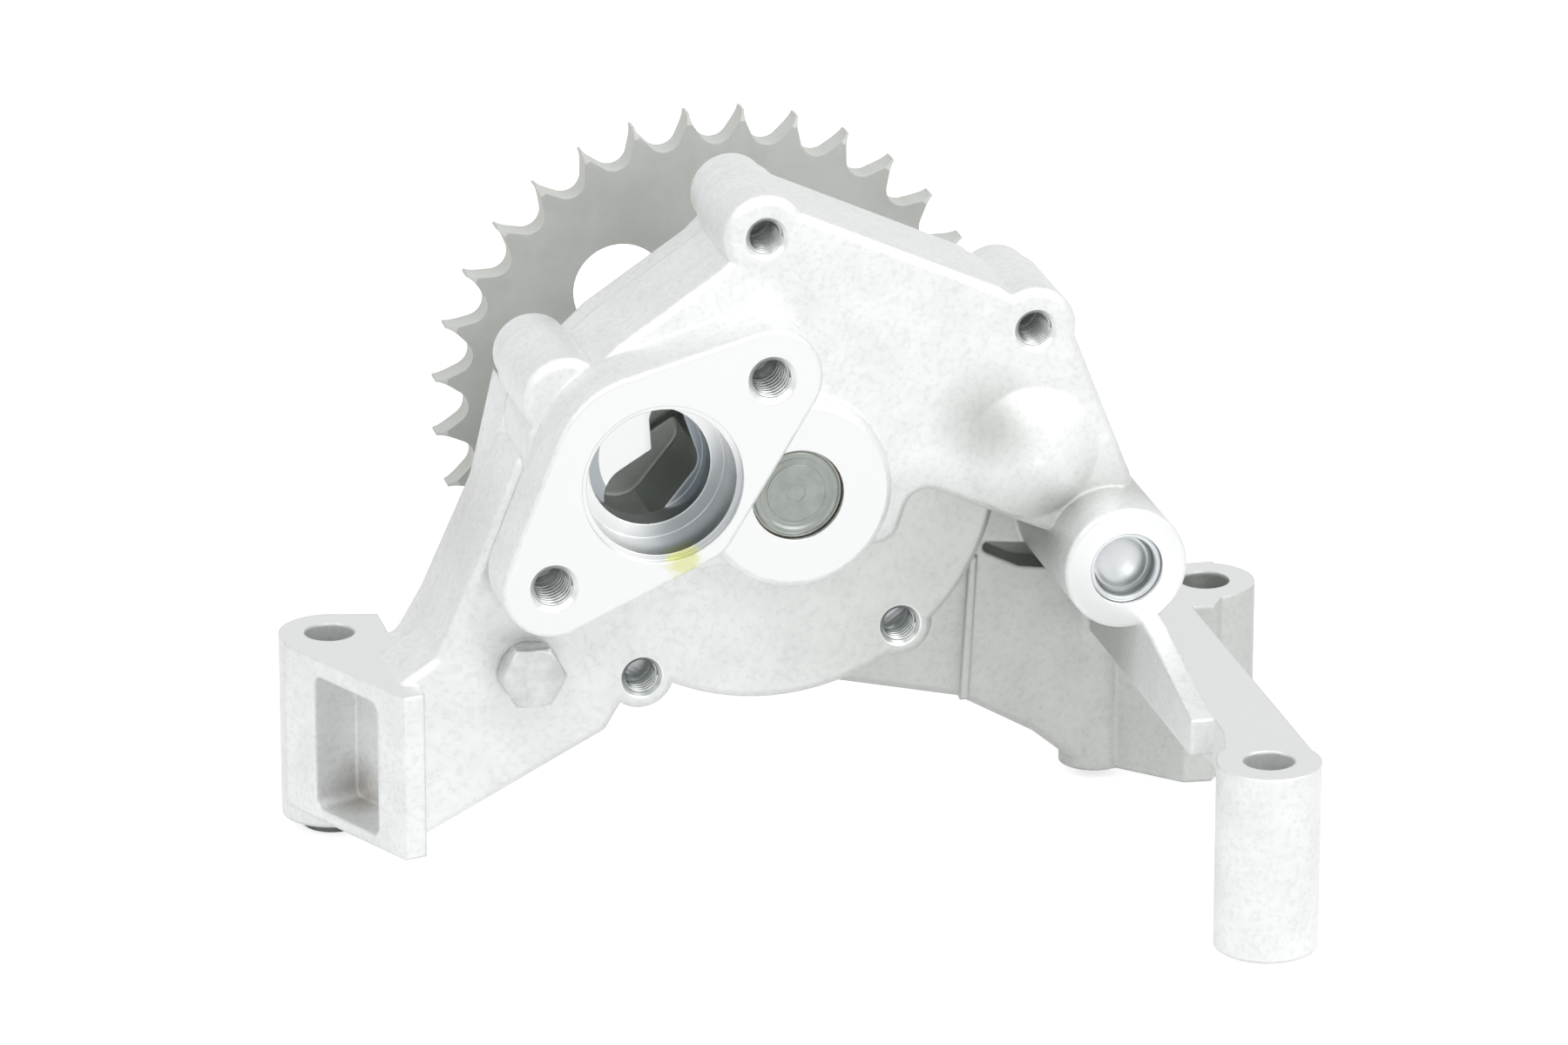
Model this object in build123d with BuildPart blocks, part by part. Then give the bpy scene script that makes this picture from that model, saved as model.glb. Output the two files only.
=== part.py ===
from build123d import *
import os
from math import acos, cos, degrees, pi, radians, sin, tan

# Engine oil pump: a two-gear pump in a three-legged casting, driven by a chain.
# Millimetres. X runs across the engine, -Y is the pick-up side, Z points up.
# The feet stand on Z = 0 and the drive shaft lies over X = 0.

os.makedirs("parts", exist_ok=True)

# Layout of the casting, each as (X, Z) on the front, or (X, Y) in plan
drive_axis = (0.0, 66.5)
gear_line_angle = 45.0
flange_holes = [(-6.0, 90.0), (-44.5, 55.5)]
port_axis = (
    (flange_holes[0][0] + flange_holes[1][0]) / 2,
    (flange_holes[0][1] + flange_holes[1][1]) / 2,
)
upper_screws = [(-4.0, 111.5), (44.0, 91.0)]
lower_screws = [(21.0, 37.0), (-25.5, 31.5)]
side_screw = (-39.5, 85.0)
all_screws = upper_screws + lower_screws + [side_screw]
dowel_points = [(-20.0, 46.5), (40.5, 77.0)]
relief_axis = (-46.0, 35.3)
gallery_axis = (57.5, 50.0)
left_leg = (-75.0, 0.0)
right_leg = (82.0, -12.0)
front_leg = (67.5, -99.0)
outlet_point = (62.5, -9.0)

# Depths along Y
cover_back = -6.0
wing_back = -3.0
split_plane = -13.0
belly_front = -30.0
body_front = -34.0
boss_front = -40.0
flange_front = -46.0
wing_front = -14.0
cast_edge = 1.2
shaft_boss = 17.0

# Running and assembly clearances, per side
running_fit = 0.03
tip_clearance = 0.08
side_clearance = 0.05
seat_gap = 0.02
screw_clearance = 0.3
joint_gap = 0.4

# Gears
gear_module = 2.25
gear_teeth = 12
pressure_angle = 25.0
gear_width = 16.0
tooth_thinning = 0.06
pitch_radius = gear_module * gear_teeth / 2
tip_radius = pitch_radius + 0.92 * gear_module
root_radius = pitch_radius - 1.2 * gear_module
pocket_radius = tip_radius + tip_clearance
pocket_floor = split_plane - gear_width - 2 * side_clearance
gear_back = split_plane - side_clearance
gear_front = gear_back - gear_width
driven_axis = (
    drive_axis[0] + 2 * pitch_radius * cos(radians(gear_line_angle)),
    drive_axis[1] + 2 * pitch_radius * sin(radians(gear_line_angle)),
)

# Drive shaft and its bushes
shaft_radius = 8.0
bush_wall = 1.5
bush_outer = shaft_radius + bush_wall
shaft_end_recess = 1.2
shaft_front = boss_front + shaft_end_recess
shaft_mouth = shaft_radius + 0.2
front_bush_front = boss_front + 2.0
rear_boss_radius = 14.0
rear_boss_back = 7.5
shoulder_back = 9.0
spigot_radius = 6.0
shaft_back = 23.5
key_width = 3.0
key_height = 3.0
key_length = 7.0
key_front = 10.0

# Idler gear bush and axle
axle_radius = 5.5
idler_bush_wall = 1.5
idler_bore = axle_radius + idler_bush_wall
axle_front = pocket_floor - 3.0
axle_back = cover_back - 0.5

# Chain sprocket
chain_pitch = 9.525
roller_radius = 3.2
sprocket_teeth = 32
sprocket_tip_radius = 51.4
sprocket_middle = 22.0
sprocket_width = 5.0
sprocket_front = sprocket_middle - sprocket_width / 2
sprocket_back = sprocket_middle + sprocket_width / 2
hub_radius = 12.5
sprocket_hole_count = 5
sprocket_hole_radius = 8.5
sprocket_hole_circle = 26.4
sprocket_hole_angle = 132.0
sprocket_pitch_radius = chain_pitch / 2 / sin(pi / sprocket_teeth)
tooth_chamfer = 0.8
tooth_land = 0.5

# Sprocket bolt and washer
bolt_radius = 4.0
bolt_hex = 13.0
bolt_head = 5.5
bolt_tip = -4.0
washer_radius = 11.0
washer_thickness = 2.0

# Legs
leg_height = 33.5
leg_radius = 9.0
leg_hole = 4.5
block_bottom = 3.3
sleeve_radius = 5.6
sleeve_seat = 5.3
sleeve_groove = 0.3
sleeve_bore = 4.7
sleeve_depth = 7.0
sleeve_stand = 2.4

# Relief valve
relief_bore = 4.25
relief_end = -10.0
relief_feed_y = -14.5
relief_feed_radius = 1.75
relief_corner = (19.0, -20.0, 45.0)
spill_y = -18.6
spill_radius = 1.3
piston_nose = -10.6
piston_land = -17.0
piston_back = -21.5
piston_nose_radius = 3.0
piston_hollow = 3.3
piston_hollow_end = -18.7
plug_hex = 10.5
plug_head = 5.0
plug_flange = 5.2
plug_thread = 5.0
plug_thread_end = -25.0
plug_hollow = 3.5
plug_hollow_end = -29.0
seal_thickness = 1.0
spring_wire = 0.45
spring_radius = 2.6
spring_turns = 6

# Suction port, pressure gallery and outlet
port_mouth = 13.2
port_step = -36.0
port_throat = 10.7
throat_end = -30.5
lead_in_radius = 14.2
lead_in_depth = 1.2
flange_thread = 3.4
flange_thread_depth = 15.0
flange_chamfer = 0.9
gallery_radius = 4.0
gallery_boss = 11.0
gallery_end = -7.5
cup_radius = 6.5
cup_depth = 5.0
cup_wall = 1.0
cross_radius = 3.0
cross_y = -20.0
outlet_radius = 3.5
outlet_post = 6.2
bulge_point = (43.5, 68.5)
bulge_radius = 12.0
bulge_rise = 4.0

# Cover screws and dowels
screw_radius = 3.0
screw_head_radius = 4.6
screw_head = 4.5
screw_socket = 4.6
screw_tip = -24.0
screw_lobe = 7.5
low_lobe = 6.0
cover_lobe = 6.8
screw_chamfer = 0.8
dowel_radius = 2.5
dowel_length = 10.0

# Outlines of the casting, each point as (X, Z)
body_points = [
    (-47, 50), (-46, 80), (-30, 94), (-12, 106), (-1, 117), (38, 99),
    (51, 90), (62, 62), (60, 48), (45, 54.2), (22.5, 64.5), (19, 54),
]
left_points = [
    (-69, 3), (-69, leg_height), (-62, 38), (-54, 56), (-47, 74),
    (-30, 72), (-20, 45), (-29, 27), (-32, 22),
]
wing_points = [
    (-34, 40), (-32, 24), (-15, 26), (12, 21.5), (36, 16), (50, 8), (59, 0.5),
    (87, 0.5), (87, leg_height), (71, leg_height), (67, 46), (60, 58), (30, 60),
]
web_points = [
    (-78, 4), (-78, leg_height), (-64, leg_height), (-59, 42), (-50, 62),
    (-44.5, 86), (-36, 84), (-34, 26), (-60, 10),
]
cover_points = [
    (-44, 52), (-44, 80), (-30, 93), (-12, 105), (-1, 116), (38, 98),
    (49, 88), (47, 62), (36, 50), (16, 45),
]
window_points = [(38, 45.5), (52, 44), (53.5, 39), (47, 40), (41, 43)]
rib_points = [(37.6, 43), (39, 43), (37.6, 16), (36, 16)]
belly = (-2.0, 66.5, 41.0)
belly_top = 65.0

# Outlines in plan, each point as (X, Y), and the gusset as (Y, Z)
block_points = [(-84, -4), (-69, -35), (-65, -34), (-65, 7), (-75, 9)]
foot_points = [(59, -5), (59, -8.5), (75, -24.5), (80, -25), (88, -12)]
beam_points = [(64, -30), (64, -14), (76, -12), (76, -99), (60, -99), (64, -84)]
gusset_points = [(-12, 42), (-44, 41), (-78, leg_height), (-78, 27), (-12, 27)]


def front(y):
    """Plane facing the pick-up side at depth y, with X across and Z up."""
    return Plane.XZ.offset(-y)


def level(z):
    """Plane facing up at height z."""
    return Plane.XY.offset(z)


def push(outline, y_front, y_back, soft=0.0, mode=Mode.ADD):
    """Extrude an outline forward, with its front edge bevelled if wanted."""
    extrude(outline, amount=y_back - y_front - soft, mode=mode)
    if soft:
        shoulder = outline.moved(Location((0, y_front + soft - y_back, 0)))
        extrude(shoulder, amount=soft, taper=45, mode=mode)


def shaft_block(y_front, y_back, radius, axis=drive_axis, mode=Mode.ADD, soft=0.0):
    """Round bar or hole along Y between two depths."""
    with BuildSketch(front(y_back)) as outline:
        with Locations(axis):
            Circle(radius)
    push(outline.sketch, y_front, y_back, soft, mode)


def bulge(y_back, radius, rise, axis):
    """Low dome on a face, with its rim at depth y_back."""
    ball = (radius**2 + rise**2) / (2 * rise)
    rim = degrees(acos(radius / ball))
    with Locations((axis[0], y_back, axis[1])):
        Sphere(
            ball, arc_size1=rim, rotation=(90, 0, 0), align=(Align.CENTER, Align.CENTER, Align.MIN)
        )


def prism(points, y_front, y_back, rounding=0.0, mode=Mode.ADD, soft=0.0):
    """Flat-faced wall along Y with the outline points given as (X, Z)."""
    with BuildSketch(front(y_back)) as outline:
        with BuildLine():
            Polyline(points, close=True)
        make_face()
        if rounding:
            fillet(outline.vertices(), rounding)
    push(outline.sketch, y_front, y_back, soft, mode)


def hull_prism(circles, y_front, y_back, mode=Mode.ADD, soft=0.0):
    """Wall along Y whose outline wraps round the circles (X, Z, radius)."""
    with BuildSketch(front(y_back)) as outline:
        for x, z, radius in circles:
            with Locations((x, z)):
                Circle(radius)
        make_hull()
    push(outline.sketch, y_front, y_back, soft, mode)


def post(x, y, radius, z_low, z_high, mode=Mode.ADD):
    """Round bar or hole along Z between two heights."""
    with BuildSketch(level(z_low)) as outline:
        with Locations((x, y)):
            Circle(radius)
    extrude(outline.sketch, amount=z_high - z_low, mode=mode)


def hexagon(y_front, y_back, across_flats, axis, turn=0.0, mode=Mode.ADD):
    """Hexagonal head or socket along Y between two depths."""
    with BuildSketch(front(y_back)) as outline:
        with Locations(axis):
            RegularPolygon(across_flats / 2, 6, major_radius=False, rotation=turn)
    extrude(outline.sketch, amount=y_back - y_front, mode=mode)


def drilling(start, end, radius):
    """Round passage drilled from one point to another."""
    with BuildSketch(Plane(origin=start, z_dir=Vector(*end) - Vector(*start))) as outline:
        Circle(radius)
    extrude(outline.sketch, amount=(Vector(*end) - Vector(*start)).length, mode=Mode.SUBTRACT)


def mouth(part, y, radius, size, axis):
    """Chamfer the round edge of a hole that opens on a face at depth y."""
    middle = Vector(axis[0], y, axis[1])
    rims = part.edges().filter_by(GeomType.CIRCLE).filter_by(
        lambda e: abs(e.radius - radius) < 0.01 and (e.arc_center - middle).length < 0.01
    )
    chamfer(rims, size)


def belly_circle(trim=0.0):
    """Lower part of the round belly under the drive shaft, in a sketch."""
    with Locations(belly[:2]):
        Circle(belly[2] - trim)
    with Locations((belly[0], belly_top + belly[2])):
        Rectangle(3 * belly[2], 2 * belly[2], mode=Mode.SUBTRACT)


def cover_face(y_front, y_back, grow=0.0, mode=Mode.ADD):
    """Block along Y in the shape of the rear cover, grown by a margin."""
    with BuildSketch(front(y_back)) as outline:
        belly_circle(1.5)
        with BuildLine():
            Polyline(cover_points, close=True)
        make_face()
        for point in upper_screws + [side_screw]:
            with Locations(point):
                Circle(cover_lobe)
        for point in lower_screws:
            with Locations(point):
                Circle(low_lobe)
        if grow:
            offset(amount=grow)
    extrude(outline.sketch, amount=y_back - y_front, mode=mode)


def gear(tooth_angle, axis, bore):
    """Add a pump gear on its axis, with a bore and a tooth at the angle."""
    with BuildSketch(front(gear_back)) as outline:
        with BuildLine():
            Polyline(gear_outline(tooth_angle, axis), close=True)
        make_face()
    extrude(outline.sketch, amount=gear_width)
    shaft_block(gear_front, gear_back, bore, axis, Mode.SUBTRACT)


def gear_outline(tooth_angle, axis):
    """Closed outline of a gear round its axis, with a tooth at the angle."""
    base = pitch_radius * cos(radians(pressure_angle))
    roll = tan(radians(pressure_angle)) - radians(pressure_angle)
    half = pi / 2 / gear_teeth - tooth_thinning / pitch_radius
    flank = []
    steps = 5
    for i in range(steps + 1):
        radius = base + (tip_radius - base) * i / steps
        angle = acos(base / radius)
        flank.append((radius, half + roll - tan(angle) + angle))
    points = []
    for tooth in range(gear_teeth):
        middle = radians(tooth_angle) + 2 * pi * tooth / gear_teeth
        gap = pi / gear_teeth
        low = [(root_radius, gap * 0.86), (root_radius + 0.45, flank[0][1] + 0.015)]
        side = low + flank
        turns = [(radius, middle - angle) for radius, angle in side]
        turns += [(radius, middle + angle) for radius, angle in reversed(side)]
        for radius, turn in turns:
            points.append((axis[0] + radius * cos(turn), axis[1] + radius * sin(turn)))
    return points


# Pump housing: the casting with the legs, the suction flange and the gear pockets
with BuildPart() as housing:
    prism(body_points, body_front, split_plane, rounding=4.0, soft=cast_edge)
    prism(left_points, belly_front, split_plane, rounding=2.0, soft=cast_edge)
    prism(web_points, wing_front - 2, wing_back, rounding=3.0, soft=cast_edge)
    prism(wing_points, wing_front, wing_back, rounding=1.5, soft=cast_edge)
    with BuildSketch(front(split_plane)) as round_belly:
        belly_circle()
    push(round_belly.sketch, belly_front, split_plane, cast_edge)
    for point in upper_screws + [side_screw]:
        shaft_block(body_front, split_plane, screw_lobe, point, soft=cast_edge)
    for point in lower_screws:
        shaft_block(belly_front, split_plane, low_lobe, point, soft=cast_edge)
    # Raised faces: the suction flange, the shaft end, the pressure chamber and the gallery
    hull_prism(
        [(*flange_holes[0], 9), (*flange_holes[1], 9), (-27, 75, 18), (-19.2, 64.6, 7)],
        flange_front, body_front, soft=cast_edge / 2,
    )
    shaft_block(boss_front, body_front, shaft_boss, soft=cast_edge)
    bulge(body_front, bulge_radius, bulge_rise, bulge_point)
    shaft_block(flange_front, wing_back, gallery_boss, gallery_axis, soft=cast_edge / 2)
    # Legs, the pocketed left leg, the beam to the front leg and its gusset
    for x, y in (left_leg, right_leg, front_leg):
        post(x, y, leg_radius, 0, leg_height)
    post(*outlet_point, outlet_post, 0, gallery_axis[1])
    with BuildSketch(level(block_bottom)) as block:
        with BuildLine():
            Polyline(block_points, close=True)
        make_face()
    extrude(block.sketch, amount=leg_height - block_bottom)
    with BuildSketch(level(0)) as foot:
        with BuildLine():
            Polyline(foot_points, close=True)
        make_face()
    extrude(foot.sketch, amount=leg_height)
    with BuildSketch(level(leg_height - 8.5)) as beam:
        with BuildLine():
            Polyline(beam_points, close=True)
        make_face()
    extrude(beam.sketch, amount=8.5)
    with BuildSketch(Plane.YZ.offset(60)) as gusset:
        with BuildLine():
            Polyline(gusset_points, close=True)
        make_face()
    extrude(gusset.sketch, amount=4)
    # Spot faces over the left and right legs
    for x, y in (left_leg, right_leg):
        post(x, y, leg_radius + 1.5, leg_height, leg_height + 30, Mode.SUBTRACT)
    # Room for the rear cover
    cover_face(split_plane, wing_back + 1, joint_gap, Mode.SUBTRACT)
    # Pocket in the outer face of the left leg
    with BuildSketch(
        Plane(origin=(-76.5, -19.5, 17.8), x_dir=(15, -31, 0), z_dir=(-31, -15, 0))
    ) as pocket:
        with Locations((0.6, 0)):
            RectangleRounded(18.2, 25.0, 2.0)
    extrude(pocket.sketch, amount=-9, mode=Mode.SUBTRACT)
    # Gear pockets with the suction and pressure chambers beside the mesh
    for axis in (drive_axis, driven_axis):
        shaft_block(pocket_floor, split_plane, pocket_radius, axis, Mode.SUBTRACT)
    hull_prism([(-26, 77, 7.5), (-5, 88, 6)], pocket_floor, split_plane, Mode.SUBTRACT)
    hull_prism([(18, 68.5, 4), (24, 70, 3.5)], pocket_floor, split_plane, Mode.SUBTRACT)
    # Suction port: lead-in, stepped bore and the curved passage inward
    shaft_block(
        flange_front, flange_front + lead_in_depth, lead_in_radius, port_axis, Mode.SUBTRACT
    )
    shaft_block(flange_front, port_step, port_mouth, port_axis, Mode.SUBTRACT)
    shaft_block(port_step, throat_end, port_throat, port_axis, Mode.SUBTRACT)
    hull_prism([(-21, 79, 3), (-19.5, 71.5, 4)], throat_end, split_plane - 2, Mode.SUBTRACT)
    hull_prism([(-19.5, 71.5, 4), (-26.5, 65.5, 5.6)], throat_end, split_plane - 2, Mode.SUBTRACT)
    # Shaft mouth, bush seat and axle seat
    shaft_block(boss_front, front_bush_front, shaft_mouth, mode=Mode.SUBTRACT)
    shaft_block(front_bush_front, pocket_floor, bush_outer + seat_gap, mode=Mode.SUBTRACT)
    shaft_block(axle_front - 0.2, pocket_floor, axle_radius + seat_gap, driven_axis, Mode.SUBTRACT)
    # Window under the ledge and the light rib on the wing
    prism(window_points, wing_front, wing_front + 7, rounding=1.0, mode=Mode.SUBTRACT)
    prism(rib_points, wing_front - 1.2, wing_front)
    # Tapped holes
    for point in upper_screws:
        shaft_block(body_front, split_plane, screw_radius, point, Mode.SUBTRACT)
    for point in lower_screws:
        shaft_block(belly_front, split_plane, screw_radius, point, Mode.SUBTRACT)
    shaft_block(screw_tip - 1, split_plane, screw_radius, side_screw, Mode.SUBTRACT)
    for point in flange_holes:
        shaft_block(
            flange_front, flange_front + flange_thread_depth, flange_thread, point, Mode.SUBTRACT
        )
    for point in dowel_points:
        shaft_block(
            split_plane - dowel_length / 2 - 0.2, split_plane,
            dowel_radius + seat_gap, point, Mode.SUBTRACT,
        )
    # Relief valve bore with its feed and spill holes
    shaft_block(belly_front, plug_thread_end + 0.5, plug_thread, relief_axis, Mode.SUBTRACT)
    shaft_block(
        plug_thread_end, relief_end, relief_bore + running_fit, relief_axis, Mode.SUBTRACT
    )
    drilling(
        (relief_axis[0], relief_feed_y, relief_axis[1]), relief_corner, relief_feed_radius
    )
    drilling(
        (relief_corner[0], relief_corner[1], relief_corner[2] - 1),
        (relief_corner[0], relief_corner[1], drive_axis[1] + 2),
        relief_feed_radius,
    )
    drilling(
        (relief_axis[0], spill_y, relief_axis[1]),
        (relief_axis[0], spill_y, relief_axis[1] - 30),
        spill_radius,
    )
    # Pressure gallery, its cup seat and the outlet through the right foot
    shaft_block(flange_front, gallery_end, gallery_radius, gallery_axis, Mode.SUBTRACT)
    shaft_block(
        flange_front, flange_front + cup_depth + 1, cup_radius + seat_gap,
        gallery_axis, Mode.SUBTRACT,
    )
    drilling((24, cross_y, 69), (gallery_axis[0], cross_y, gallery_axis[1] + 5.5), cross_radius)
    post(*outlet_point, outlet_radius, -1, gallery_axis[1], Mode.SUBTRACT)
    # Bolt holes in the legs and the sleeve seats
    for x, y in (left_leg, right_leg, front_leg):
        post(x, y, leg_hole, -1, leg_height + 1, Mode.SUBTRACT)
    for x, y in (left_leg, right_leg):
        post(x, y, sleeve_seat + seat_gap, -1, sleeve_depth, Mode.SUBTRACT)
    # Chamfers on the hole mouths
    for point in flange_holes:
        mouth(housing, flange_front, flange_thread, flange_chamfer, point)
    for point in upper_screws:
        mouth(housing, body_front, screw_radius, screw_chamfer, point)
    for point in lower_screws:
        mouth(housing, belly_front, screw_radius, screw_chamfer, point)

housing.part.label = "pump_housing"
export_step(housing.part, "parts/pump_housing.step")


# Rear cover
with BuildPart() as cover:
    cover_face(split_plane, cover_back)
    shaft_block(cover_back, rear_boss_back, rear_boss_radius)
    shaft_block(split_plane, rear_boss_back, bush_outer + seat_gap, mode=Mode.SUBTRACT)
    shaft_block(split_plane, cover_back, axle_radius + seat_gap, driven_axis, Mode.SUBTRACT)
    for point in all_screws:
        shaft_block(
            split_plane, cover_back, screw_radius + screw_clearance, point, Mode.SUBTRACT
        )
    for point in dowel_points:
        shaft_block(split_plane, cover_back, dowel_radius + seat_gap, point, Mode.SUBTRACT)

cover.part.label = "rear_cover"
export_step(cover.part, "parts/rear_cover.step")


# Cover screws: socket heads on the rear face
for index, point in enumerate(all_screws):
    with BuildPart() as screw:
        shaft_block(screw_tip, cover_back, screw_radius - seat_gap, point)
        shaft_block(cover_back, cover_back + screw_head, screw_head_radius, point)
        hexagon(
            cover_back + screw_head - 3, cover_back + screw_head, screw_socket, point,
            mode=Mode.SUBTRACT,
        )
    name = f"cover_screw_{index + 1}"
    screw.part.label = name
    export_step(screw.part, f"parts/{name}.step")


# Dowel pins between housing and cover
for index, point in enumerate(dowel_points):
    with BuildPart() as dowel:
        shaft_block(
            split_plane - dowel_length / 2, split_plane + dowel_length / 2, dowel_radius, point
        )
        chamfer(dowel.edges(), 0.4)
    name = f"cover_dowel_{index + 1}"
    dowel.part.label = name
    export_step(dowel.part, f"parts/{name}.step")


# Locating sleeves under two of the legs, with a narrower end that sits in the leg
for name, (x, y) in (("left_sleeve", left_leg), ("right_sleeve", right_leg)):
    with BuildPart() as sleeve:
        post(x, y, sleeve_radius, -sleeve_stand, -sleeve_groove)
        post(x, y, sleeve_seat, -sleeve_groove, sleeve_depth)
        post(x, y, sleeve_bore, -sleeve_stand, sleeve_depth, Mode.SUBTRACT)
        chamfer(sleeve.edges().group_by(Axis.Z)[0], 0.3)
    sleeve.part.label = name
    export_step(sleeve.part, f"parts/{name}.step")


# Plain bushes for the drive shaft
for name, y_front, y_back in (
    ("front_bush", front_bush_front + 0.1, pocket_floor),
    ("rear_bush", split_plane, rear_boss_back - 0.5),
):
    with BuildPart() as bush:
        shaft_block(y_front, y_back, bush_outer)
        shaft_block(y_front, y_back, shaft_radius + running_fit, mode=Mode.SUBTRACT)
    bush.part.label = name
    export_step(bush.part, f"parts/{name}.step")


# Drive shaft with the spigot, keyway and tapped end
with BuildPart() as shaft:
    shaft_block(shaft_front, shoulder_back, shaft_radius)
    shaft_block(shoulder_back, shaft_back, spigot_radius)
    shaft_block(bolt_tip - 3, shaft_back, bolt_radius, mode=Mode.SUBTRACT)
    shaft_block(shaft_front, shaft_front + 0.5, 6.6, mode=Mode.SUBTRACT)
    shaft_block(shaft_front, shaft_front + 0.5, 5.2)
    shaft_block(shaft_front, shaft_front + 2.5, 1.6, mode=Mode.SUBTRACT)
    with BuildSketch(front(key_front + key_length)) as slot:
        with Locations((0, drive_axis[1] + spigot_radius)):
            Rectangle(key_width + 0.04, key_height + 0.04)
    extrude(slot.sketch, amount=key_length, mode=Mode.SUBTRACT)

shaft.part.label = "drive_shaft"
export_step(shaft.part, "parts/drive_shaft.step")


# Key between shaft and sprocket
with BuildPart() as key:
    with BuildSketch(front(key_front + key_length - 0.05)) as key_end:
        with Locations((0, drive_axis[1] + spigot_radius)):
            Rectangle(key_width, key_height)
    extrude(key_end.sketch, amount=key_length - 0.1)

key.part.label = "sprocket_key"
export_step(key.part, "parts/sprocket_key.step")


# Pump gears: the driven one has a gap where the drive gear has a tooth
with BuildPart() as drive_gear:
    gear(gear_line_angle, drive_axis, shaft_radius + seat_gap)

drive_gear.part.label = "drive_gear"
export_step(drive_gear.part, "parts/drive_gear.step")

with BuildPart() as driven_gear:
    gear(gear_line_angle + 180 + 180 / gear_teeth, driven_axis, idler_bore + seat_gap)

driven_gear.part.label = "driven_gear"
export_step(driven_gear.part, "parts/driven_gear.step")

with BuildPart() as gear_bush:
    shaft_block(gear_front, gear_back, idler_bore, driven_axis)
    shaft_block(gear_front, gear_back, axle_radius + running_fit, driven_axis, Mode.SUBTRACT)

gear_bush.part.label = "driven_gear_bush"
export_step(gear_bush.part, "parts/driven_gear_bush.step")

with BuildPart() as axle:
    shaft_block(axle_front, axle_back, axle_radius, driven_axis)
    chamfer(axle.edges(), 0.5)

axle.part.label = "idler_axle"
export_step(axle.part, "parts/idler_axle.step")


# Chain sprocket: every tooth gap is a roller seat that opens outward
with BuildPart() as sprocket:
    with BuildSketch(front(sprocket_back)) as blank:
        with Locations(drive_axis):
            Circle(sprocket_tip_radius)
    extrude(blank.sketch, amount=sprocket_width)
    rims = sprocket.edges().filter_by(GeomType.CIRCLE)
    chamfer(rims, length=tooth_chamfer, length2=tooth_chamfer * 2.5)
    with BuildSketch(front(sprocket_back)) as gap:
        with Locations((sprocket_pitch_radius, 0)):
            Circle(roller_radius)
        with Locations((sprocket_tip_radius, 0)):
            Circle(pi * sprocket_tip_radius / sprocket_teeth - tooth_land / 2)
        make_hull()
    with BuildSketch(front(sprocket_back)) as gaps:
        with Locations(drive_axis):
            with PolarLocations(0, sprocket_teeth):
                add(gap.sketch_local)
    extrude(gaps.sketch, amount=sprocket_width, mode=Mode.SUBTRACT)
    shaft_block(shoulder_back, sprocket_front, hub_radius)
    shaft_block(shoulder_back, sprocket_back, spigot_radius + seat_gap, mode=Mode.SUBTRACT)
    with BuildSketch(front(sprocket_back)) as windows:
        with Locations(drive_axis):
            with PolarLocations(
                sprocket_hole_circle, sprocket_hole_count, start_angle=sprocket_hole_angle
            ):
                Circle(sprocket_hole_radius)
    extrude(windows.sketch, amount=sprocket_width, mode=Mode.SUBTRACT)
    with BuildSketch(front(sprocket_back)) as keyway:
        with Locations((0, drive_axis[1] + spigot_radius)):
            Rectangle(key_width + 0.04, key_height + 0.04)
    extrude(keyway.sketch, amount=sprocket_back - shoulder_back, mode=Mode.SUBTRACT)

sprocket.part.label = "drive_sprocket"
export_step(sprocket.part, "parts/drive_sprocket.step")


# Washer and bolt that hold the sprocket
washer_back = sprocket_back + washer_thickness
with BuildPart() as washer:
    shaft_block(sprocket_back, washer_back, washer_radius)
    shaft_block(sprocket_back, washer_back, bolt_radius + screw_clearance, mode=Mode.SUBTRACT)
    chamfer(washer.edges().group_by(Axis.Y)[-1].sort_by(SortBy.LENGTH)[-1], 0.4)

washer.part.label = "sprocket_washer"
export_step(washer.part, "parts/sprocket_washer.step")

with BuildPart() as bolt:
    shaft_block(bolt_tip, washer_back, bolt_radius - seat_gap)
    hexagon(washer_back, washer_back + bolt_head, bolt_hex, drive_axis)

bolt.part.label = "sprocket_bolt"
export_step(bolt.part, "parts/sprocket_bolt.step")


# Relief valve: piston, spring, plug and sealing ring
with BuildPart() as piston:
    shaft_block(piston_back, piston_land, relief_bore, relief_axis)
    shaft_block(piston_land, piston_nose, piston_nose_radius, relief_axis)
    shaft_block(piston_back, piston_hollow_end, piston_hollow, relief_axis, Mode.SUBTRACT)

piston.part.label = "relief_piston"
export_step(piston.part, "parts/relief_piston.step")

spring_front = plug_hollow_end + spring_wire + 0.05
spring_back = piston_hollow_end - spring_wire - 0.05
with BuildPart() as spring:
    spring_length = spring_back - spring_front
    coil_end = (relief_axis[0], spring_back, relief_axis[1])
    pitch = spring_length / spring_turns
    with BuildLine() as coil:
        Helix(pitch, spring_length, spring_radius, center=coil_end, direction=(0, -1, 0))
    with BuildSketch(Plane(origin=coil.line @ 0, z_dir=coil.line % 0)) as wire:
        RegularPolygon(spring_wire, 6)
    sweep(wire.sketch, path=coil.line, is_frenet=True)

spring.part.label = "relief_spring"
export_step(spring.part, "parts/relief_spring.step")

head_back = belly_front - seal_thickness
with BuildPart() as plug:
    shaft_block(head_back, plug_thread_end, plug_thread - seat_gap, relief_axis)
    shaft_block(head_back - 1, head_back, plug_flange, relief_axis)
    hexagon(head_back - plug_head, head_back - 1, plug_hex, relief_axis, 0)
    shaft_block(plug_hollow_end, plug_thread_end, plug_hollow, relief_axis, Mode.SUBTRACT)

plug.part.label = "relief_plug"
export_step(plug.part, "parts/relief_plug.step")

with BuildPart() as seal:
    shaft_block(head_back, belly_front, plug_flange + 0.4, relief_axis)
    shaft_block(head_back, belly_front, plug_thread + 0.05, relief_axis, Mode.SUBTRACT)

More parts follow.
